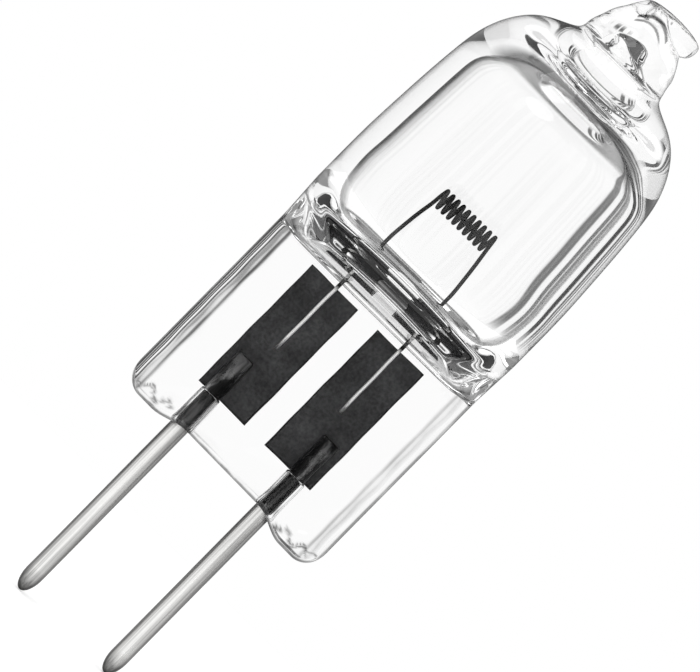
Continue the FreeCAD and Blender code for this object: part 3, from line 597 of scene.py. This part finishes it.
def envelope_surface():
    """All the skins of the envelope, joined into one closed surface outside and one inside.

    The last value is the number of the first point inside.
    """
    x, y = seal_section()
    outside = np.concatenate([seal_skin(x, y), shoulder_skin(x, y), bulb_skin()])
    columns = outside.shape[1]
    numbers = np.arange(outside.shape[0] * columns).reshape(-1, columns)
    crown = numbers.size
    tip = [outside[-1, :, 0].mean(), 0, outside[-1, :, 2].max() + 0.0005]
    points = [outside.reshape(-1, 3), [tip]]
    faces = [quads_of(numbers), fan_of(numbers[-1], crown)]
    rim, count = outside[0], crown + 1
    middle = np.linspace(rim[QUADRANT], rim[3 * QUADRANT], 15)[1:-1]
    middle[:, 2] = base_level(middle[:, 0])
    middle_numbers = count + np.arange(len(middle))
    points.append(middle)
    count += len(middle)
    right = np.arange(-QUADRANT, QUADRANT + 1)
    left = right + 2 * QUADRANT
    for side, half, seam in ((1, right, slice(None)), (-1, left, slice(None, None, -1))):
        loop = np.concatenate([rim[half % columns], middle[seam]])
        loop_numbers = np.concatenate([numbers[0, half % columns], middle_numbers[seam]])
        rings = mouth_skin(side, loop)
        ring_numbers = count + np.arange(rings.shape[0] * rings.shape[1]).reshape(rings.shape[:2])
        end = count + ring_numbers.size
        points += [rings.reshape(-1, 3), [[side * PIN_X, 0, CAPILLARY_TOP]]]
        faces += [quads_of(np.concatenate([loop_numbers[None], ring_numbers]), flip=True),
                  fan_of(ring_numbers[-1], end, flip=True)]
        count = end + 1
    chamber = chamber_skin(CHAMBER_COLUMNS)
    chamber_numbers = count + np.arange(chamber.shape[0] * CHAMBER_COLUMNS).reshape(-1, CHAMBER_COLUMNS)
    floor, end = count + chamber_numbers.size, count + chamber_numbers.size + 1
    points += [chamber.reshape(-1, 3), [chamber[0].mean(axis=0), chamber[-1].mean(axis=0)]]
    faces += [quads_of(chamber_numbers, flip=True), fan_of(chamber_numbers[0], floor),
              fan_of(chamber_numbers[-1], end, flip=True)]
    return np.concatenate(points), faces, count


def math_of(tree, operation, first, second):
    """A Math node on two sockets or numbers."""
    node = tree.nodes.new("ShaderNodeMath")
    node.operation = operation
    for socket, value in zip(node.inputs, (first, second)):
        if isinstance(value, (int, float)):
            socket.default_value = value
        else:
            tree.links.new(value, socket)
    return node.outputs["Value"]


quartz, tree, glass = new_finish("fused_quartz")
ripple = grain_of(tree, (1, 1, 0.35), 420, 2.0)
patches = grain_of(tree, (1, 1, 0.3), 1500, 3.0)
glass.inputs["Transmission Weight"].default_value = 1.0
glass.inputs["IOR"].default_value = QUARTZ_IOR
glass.inputs["Roughness"].default_value = 0.0
hollow = tree.nodes.new("ShaderNodeAttribute")
hollow.attribute_name = "hollow"
line_shade = tree.nodes.new("ShaderNodeAttribute")
line_shade.attribute_name = "line_shade"
# Painted shade: the glass's colour darkens where its outer or inner surface is seen edge on, which draws
# dark outlines round the envelope and the chamber.
painted_edge_shade = blend_of(tree, "MIX", hollow.outputs["Fac"], side_shade(tree, OUTER_EDGE_SHADE),
                   side_shade(tree, INNER_EDGE_SHADE))
# Painted shade: dark broken lines in the glass's colour along the slab's narrow sides, rails, rim, pins'
# channels and feet, across the tip and at the jaws' mark, harder on the left side.
broken_line_shade = blend_of(tree, "MULTIPLY", 1.0, line_shade.outputs["Color"], ramp_of(tree, patches, LINE_SHADE_BREAKS))
painted_shade_tint = blend_of(tree, "MULTIPLY", 1.0, painted_edge_shade, ramp_of(tree, broken_line_shade, LINE_SHADE_GREYS))
tree.links.new(painted_shade_tint, glass.inputs["Base Color"])
tree.links.new(bump_of(tree, ripple, RIPPLE_DEPTH, RIPPLE_STRENGTH), glass.inputs["Normal"])
light_path = tree.nodes.new("ShaderNodeLightPath")
trapped = math_of(tree, "GREATER_THAN", light_path.outputs["Ray Depth"], TRAPPED_AFTER)
let_go = math_of(tree, "MAXIMUM", light_path.outputs["Is Shadow Ray"], trapped)
clear = tree.nodes.new("ShaderNodeBsdfTransparent")
clear.inputs["Color"].default_value = (*CLEAR_GREY, 1)
either = tree.nodes.new("ShaderNodeMixShader")
tree.links.new(let_go, either.inputs["Fac"])
tree.links.new(glass.outputs["BSDF"], either.inputs[1])
tree.links.new(clear.outputs["BSDF"], either.inputs[2])
tree.links.new(either.outputs["Shader"], tree.nodes["Material Output"].inputs["Surface"])

envelope_points, envelope_faces, hollow_start = envelope_surface()
envelope = make_piece("quartz_envelope", envelope_points, envelope_faces, quartz,
                      "quartz", "glass_envelope")
line_shades = envelope.data.attributes.new("line_shade", "FLOAT", "POINT")
line_shades.data.foreach_set("value", line_shade_of(envelope_points))
hollows = envelope.data.attributes.new("hollow", "FLOAT", "POINT")
hollows.data.foreach_set("value", (np.arange(len(envelope_points)) >= hollow_start).astype(float))


# Table
#
# A plain white sweep for the lamp to stand on, which takes only the soft shadow of the pins. It shows
# white to the camera and in metal; through the glass its middle shows dark, a painted shade under
# the lamp that only rays through the glass see.

TABLE_REACH, TABLE_LEVEL = 70.0, -7.77
TABLE_WHITE, TABLE_GLOW = (0.9, 0.9, 0.9), 0.42
WHITE = (1.0, 1.0, 1.0, 1.0)
SHADE_REACH = 50.0
PAINTED_SHADE_UNDER_LAMP = [(0.0, 0.1), (0.2, 0.12), (0.36, 1.0), (1.0, 1.0)]

sweep_mesh = bpy.data.meshes.new("white_sweep")
corners = np.array([(-1, -1), (1, -1), (1, 1), (-1, 1)]) * TABLE_REACH
corners = np.column_stack([corners, np.full(4, TABLE_LEVEL)]) * MM
sweep_mesh.from_pydata(corners.tolist(), [], [(0, 1, 2, 3)])
white_sweep = bpy.data.objects.new("white_sweep", sweep_mesh)
bpy.context.collection.objects.link(white_sweep)

paper, tree, sheen = new_finish("white_paper")
sheen.inputs["Roughness"].default_value = 0.9
sheen.inputs["Specular IOR Level"].default_value = 0.0
seen = tree.nodes.new("ShaderNodeLightPath")
past_glass = math_of(tree, "MAXIMUM", seen.outputs["Is Camera Ray"], seen.outputs["Is Glossy Ray"])
any_sight = math_of(tree, "MAXIMUM", past_glass, seen.outputs["Is Transmission Ray"])
glow = math_of(tree, "MULTIPLY", any_sight, TABLE_GLOW)
place = tree.nodes.new("ShaderNodeTexCoord")
away = tree.nodes.new("ShaderNodeVectorMath")
away.operation = "LENGTH"
share = tree.nodes.new("ShaderNodeMapRange")
share.inputs["From Max"].default_value = SHADE_REACH * MM
tree.links.new(place.outputs["Object"], away.inputs[0])
tree.links.new(away.outputs["Value"], share.inputs["Value"])
# Painted shade: to rays through the glass the sweep is dark for a few centimetres round the lamp.
under = ramp_of(tree, share.outputs["Result"], PAINTED_SHADE_UNDER_LAMP)
tone = blend_of(tree, "MIX", seen.outputs["Is Transmission Ray"], WHITE, under)
tree.links.new(tone, sheen.inputs["Emission Color"])
tree.links.new(blend_of(tree, "MULTIPLY", 1.0, tone, (*TABLE_WHITE, 1)), sheen.inputs["Base Color"])
tree.links.new(glow, sheen.inputs["Emission Strength"])
sweep_mesh.materials.append(paper)


# Light
#
# A white tent lights the lamp evenly. Narrow dark gaps on all four sides and a dark ceiling give the
# clear glass its lines, darker panels stand where metal and smooth glass mirror them, and a soft lamp
# from the upper left gives the pins their gloss.

TENT_GREY = (0.72, 0.72, 0.72)
TENT_GAPS = [(0.0, 1.0), (0.105, 1.0), (0.112, 0.15), (0.143, 0.15), (0.15, 1.0), (0.185, 1.0),
             (0.192, 0.03), (0.224, 0.03), (0.23, 0.9), (0.24, 0.9), (0.247, 0.03), (0.29, 0.03),
             (0.305, 1.0), (0.35, 1.0), (0.36, 0.03), (0.445, 0.03), (0.455, 1.0), (1.0, 1.0)]
METAL_SHINE = [(0.0, 0.9), (0.3, 1.0), (0.46, 0.9), (0.54, 0.02), (0.74, 0.02), (0.9, 0.45), (1.0, 0.9)]
GLASS_SHINE = [(0.0, 0.1), (0.1, 0.14), (0.25, 0.4), (0.75, 0.4), (0.9, 0.14), (1.0, 0.1)]
GAP_FOOT = [(0.0, 0.0), (0.38, 0.0), (0.46, 1.0), (1.0, 1.0)]
CEILING = [(0.0, 1.0), (0.75, 1.0), (0.84, 0.14), (1.0, 0.1)]
KEY_SIZE, KEY_POWER = 0.10, 0.06
KEY_PLACE, KEY_AIM = (-0.07, -0.12, 0.13), (0.0, 0.0, 0.006)

world = bpy.data.worlds.new("light_tent")
world.use_nodes = True
bpy.context.scene.world = world
tree = world.node_tree
backdrop = tree.nodes["Background"]
heading = tree.nodes.new("ShaderNodeTexCoord")
parts = tree.nodes.new("ShaderNodeSeparateXYZ")
tree.links.new(heading.outputs["Generated"], parts.inputs["Vector"])
angle = math_of(tree, "ARCTAN2", parts.outputs["X"], parts.outputs["Y"])
quarter_turn = math_of(tree, "FLOORED_MODULO", math_of(tree, "DIVIDE", angle, math.pi / 2), 1.0)
half_turn = math_of(tree, "FLOORED_MODULO", math_of(tree, "DIVIDE", angle, math.pi), 1.0)
rise = math_of(tree, "ADD", math_of(tree, "MULTIPLY", parts.outputs["Z"], 0.5), 0.5)
gaps = blend_of(tree, "MIX", ramp_of(tree, rise, GAP_FOOT), WHITE, ramp_of(tree, quarter_turn, TENT_GAPS))
through = blend_of(tree, "MULTIPLY", 1.0, gaps, ramp_of(tree, rise, CEILING))
off_metal = ramp_of(tree, half_turn, METAL_SHINE)
off_glass = ramp_of(tree, quarter_turn, GLASS_SHINE)
rays = tree.nodes.new("ShaderNodeLightPath")
mirrored = blend_of(tree, "MIX", rays.outputs["Is Singular Ray"], off_metal, off_glass)
shown = blend_of(tree, "MIX", rays.outputs["Is Glossy Ray"], (*TENT_GREY, 1), mirrored)
shown = blend_of(tree, "MIX", rays.outputs["Is Transmission Ray"], shown, through)
shown = blend_of(tree, "MIX", rays.outputs["Is Camera Ray"], shown, WHITE)
tree.links.new(shown, backdrop.inputs["Color"])
backdrop.inputs["Strength"].default_value = 1.0

key = bpy.data.lights.new("soft_key", "AREA")
key.shape = "DISK"
key.size = KEY_SIZE
key.energy = KEY_POWER
soft_key = bpy.data.objects.new("soft_key", key)
soft_key.location = KEY_PLACE
soft_key.rotation_euler = (Vector(KEY_AIM) - soft_key.location).to_track_quat("-Z", "Y").to_euler()
bpy.context.collection.objects.link(soft_key)


# Camera
#
# A long lens from the front, a little above the lamp's middle, turned so that the lamp lies across
# the frame from the lower left to the upper right.

AIM = (-0.05, 0.0, 6.13)
PIXELS_ACROSS, PIXELS_PER_MM = 700, 29.75
FRAME_WIDTH = PIXELS_ACROSS / PIXELS_PER_MM
LENS, SENSOR = 300.0, 36.0
NEAR, FAR = 0.01, 10.0
LOOK_DOWN, TILT = math.radians(1.0), math.radians(45.4)

lens = bpy.data.cameras.new("photo_camera")
lens.lens, lens.sensor_width = LENS, SENSOR
lens.clip_start, lens.clip_end = NEAR, FAR
camera = bpy.data.objects.new("photo_camera", lens)
lamp_up = Vector((0, math.sin(LOOK_DOWN), math.cos(LOOK_DOWN)))
lamp_right = Vector((1, 0, 0))
image_right = lamp_up * math.cos(TILT) + lamp_right * math.sin(TILT)
image_up = lamp_up * math.sin(TILT) - lamp_right * math.cos(TILT)
image_back = image_right.cross(image_up)
spot = Vector(AIM) * MM + image_back * (FRAME_WIDTH * MM * LENS / SENSOR)
turned = Matrix((image_right, image_up, image_back)).transposed().to_4x4()
camera.matrix_world = Matrix.Translation(spot) @ turned
bpy.context.collection.objects.link(camera)
bpy.context.scene.camera = camera
bpy.context.scene.view_settings.view_transform = "Standard"
